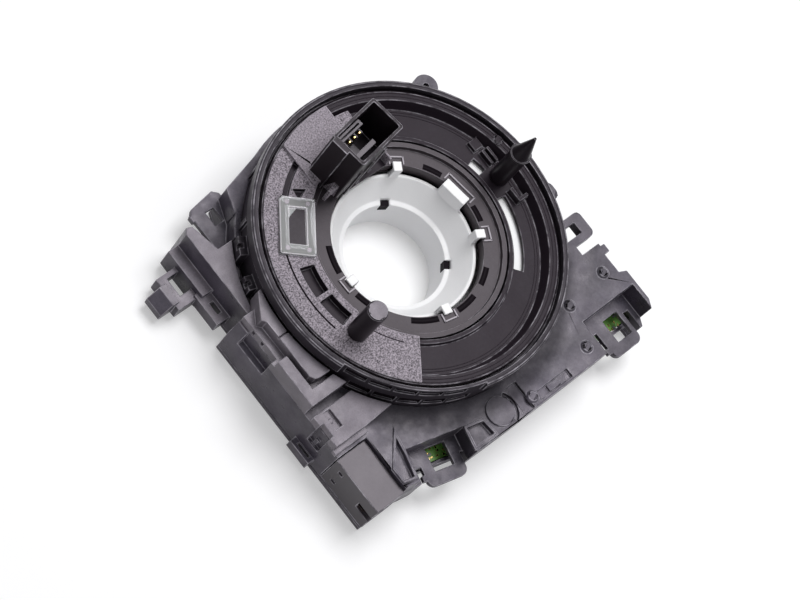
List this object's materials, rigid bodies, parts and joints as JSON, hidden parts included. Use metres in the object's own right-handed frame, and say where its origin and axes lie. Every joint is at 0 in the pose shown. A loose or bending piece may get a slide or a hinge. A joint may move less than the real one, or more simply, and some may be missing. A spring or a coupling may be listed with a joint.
{
  "type": "steering clock spring",
  "caption": "Steering column clock spring with angle sensor: round cassette with a turning ring, socket tower, two pins and a white bore, on a clip-edged housing.",
  "frame": {"origin": "on the steering axis at the rear end of the white sensor ring's bore", "axes": "+Z along the steering axis towards the steering wheel, -Y towards the mouth of the harness connector"},
  "size_m": [0.1353, 0.122, 0.057],
  "materials": {
    "housing_black": "fine moulded texture",
    "cassette_black": "satin moulded",
    "disc_black": "satin moulded",
    "plateau_grey": "coarse spark-eroded texture",
    "cover_grey": "fine moulded texture",
    "connector_black": "smooth moulded",
    "carrier_grey": "smooth moulded",
    "pin_black": "smooth moulded",
    "ring_white": "smooth, slightly translucent",
    "board_green": "solder resist",
    "contact_gold": "plated",
    "screw_steel": "zinc plated",
    "ribbon_amber": "smooth film",
    "window_clear": "clear polycarbonate"
  },
  "bodies": {
    "housing": {"main_housing": "housing_black", "stator_cassette": "cassette_black", "rear_cover": "housing_black", "circuit_board": "board_green", "cover_screws": "screw_steel", "board_connector": "connector_black", "connector_pins": "contact_gold", "fork_sensors": "connector_black", "control_chip": "connector_black", "capacitors": "screw_steel", "ribbon_outer": "ribbon_amber", "side_box": "cover_grey", "cable_terminal": "connector_black", "plug_cover": "cover_grey"},
    "rotor": {"rotor_disc": "disc_black", "hub_ring": "disc_black", "sensor_ring": "ring_white", "code_disc": "connector_black", "tower_housing": "plateau_grey", "contact_carrier": "carrier_grey", "tower_pins": "contact_gold", "clear_window": "window_clear", "centring_pin": "pin_black", "guide_pin": "pin_black", "rotor_terminal": "connector_black", "ribbon_inner": "ribbon_amber"},
    "carrier": {"cable_carrier": "ring_white", "ribbon_turn": "ribbon_amber"},
    "roller_1": {"roller_1": "ring_white"},
    "roller_2": {"roller_2": "ring_white"},
    "roller_3": {"roller_3": "ring_white"},
    "roller_4": {"roller_4": "ring_white"}
  },
  "joints": [
    {"name": "rotor_spin", "type": "hinge", "parent": "housing", "child": "rotor", "pos_m": [0, 0, 0], "axis": [0, 0, 1], "range_deg": [-900, 900]},
    {"name": "carrier_spin", "type": "hinge", "parent": "housing", "child": "carrier", "pos_m": [0, 0, 0], "axis": [0, 0, 1], "range_deg": [-382, 382]},
    {"name": "roller_1_spin", "type": "hinge", "parent": "carrier", "child": "roller_1", "pos_m": [0.03477, 0.02435, 0.016], "axis": [0, 0, 1], "range_deg": [-3800, 3800]},
    {"name": "roller_2_spin", "type": "hinge", "parent": "carrier", "child": "roller_2", "pos_m": [-0.02435, 0.03477, 0.016], "axis": [0, 0, 1], "range_deg": [-3800, 3800]},
    {"name": "roller_3_spin", "type": "hinge", "parent": "carrier", "child": "roller_3", "pos_m": [-0.03477, -0.02435, 0.016], "axis": [0, 0, 1], "range_deg": [-3800, 3800]},
    {"name": "roller_4_spin", "type": "hinge", "parent": "carrier", "child": "roller_4", "pos_m": [0.02435, -0.03477, 0.016], "axis": [0, 0, 1], "range_deg": [-3800, 3800]}
  ],
  "couplings": [
    {"joint": "carrier_spin", "follows": "rotor_spin", "ratio": 0.42},
    {"joint": "roller_1_spin", "follows": "rotor_spin", "ratio": -4.2},
    {"joint": "roller_2_spin", "follows": "rotor_spin", "ratio": -4.2},
    {"joint": "roller_3_spin", "follows": "rotor_spin", "ratio": -4.2},
    {"joint": "roller_4_spin", "follows": "rotor_spin", "ratio": -4.2}
  ]
}
